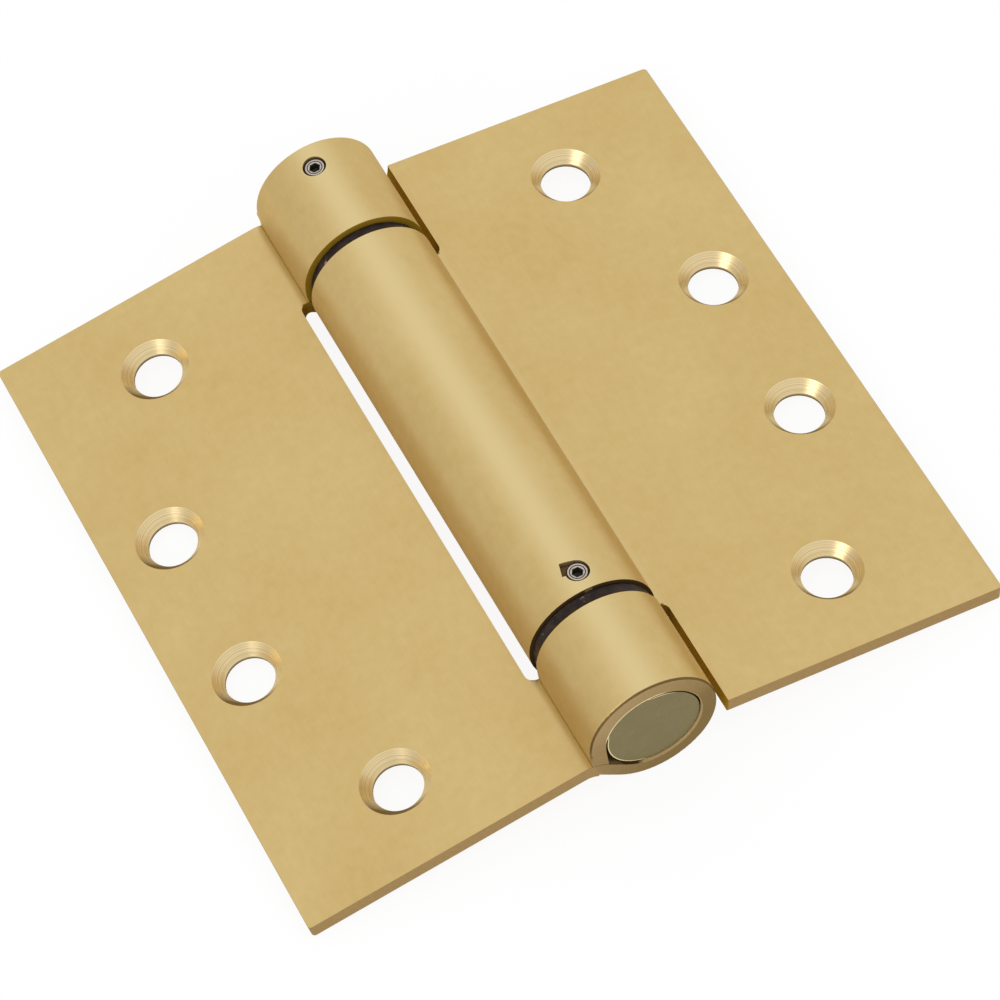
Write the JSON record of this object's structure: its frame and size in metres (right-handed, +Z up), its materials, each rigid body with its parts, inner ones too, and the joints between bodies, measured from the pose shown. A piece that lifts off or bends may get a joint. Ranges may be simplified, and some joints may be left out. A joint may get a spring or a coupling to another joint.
{
  "type": "spring hinge",
  "caption": "Self-closing full-mortise door hinge: two rolled leaves with countersunk screw holes, flanged bearings and a torsion spring wound by a plug in the barrel.",
  "frame": {"origin": "on the pin axis, half way along the barrel", "axes": "+Y along the pin towards the adjusting end, +X towards the free edge of the leaf with the centre knuckle, +Z up from the table that the open hinge lies on"},
  "size_m": [0.1132, 0.115, 0.0204],
  "materials": {
    "satin_brass_plate": "fine brushed satin-brass plating on steel",
    "plug_steel": "turned and plated",
    "anchor_steel": "turned, bare",
    "spring_steel": "oiled spring wire",
    "bearing_plastic": "black, slightly worn",
    "screw_steel": "turned, bright rings"
  },
  "bodies": {
    "end_knuckle_side": {"two_knuckle_leaf": "satin_brass_plate", "pivot_plug": "plug_steel"},
    "centre_knuckle_side": {"centre_knuckle_leaf": "satin_brass_plate", "upper_bearing": "bearing_plastic", "lower_bearing": "bearing_plastic", "spring_anchor": "anchor_steel", "torsion_spring": "spring_steel"},
    "tension_plug": {"tension_plug": "plug_steel"},
    "lock_screw": {"lock_screw": "screw_steel"},
    "anchor_screw": {"anchor_screw": "screw_steel"}
  },
  "joints": [
    {"name": "leaf_swing", "type": "hinge", "parent": "end_knuckle_side", "child": "centre_knuckle_side", "pos_m": [0, 0, 0], "axis": [0, -1, 0], "range_deg": [-135, 194], "stiffness_Nm_per_rad": 2.045, "deforming": ["torsion_spring"]},
    {"name": "tension_adjust", "type": "hinge", "parent": "end_knuckle_side", "child": "tension_plug", "pos_m": [0, 0.0484, 0], "axis": [0, 1, 0], "range_deg": [0, 360], "deforming": ["torsion_spring"]},
    {"name": "lock_screw_travel", "type": "slide", "parent": "end_knuckle_side", "child": "lock_screw", "axis": [-0.0614, 0, 0.9981], "range_m": [0, 0.0015]},
    {"name": "anchor_screw_travel", "type": "slide", "parent": "centre_knuckle_side", "child": "anchor_screw", "axis": [0.0614, 0, 0.9981], "range_m": [0, 0.0015]}
  ]
}
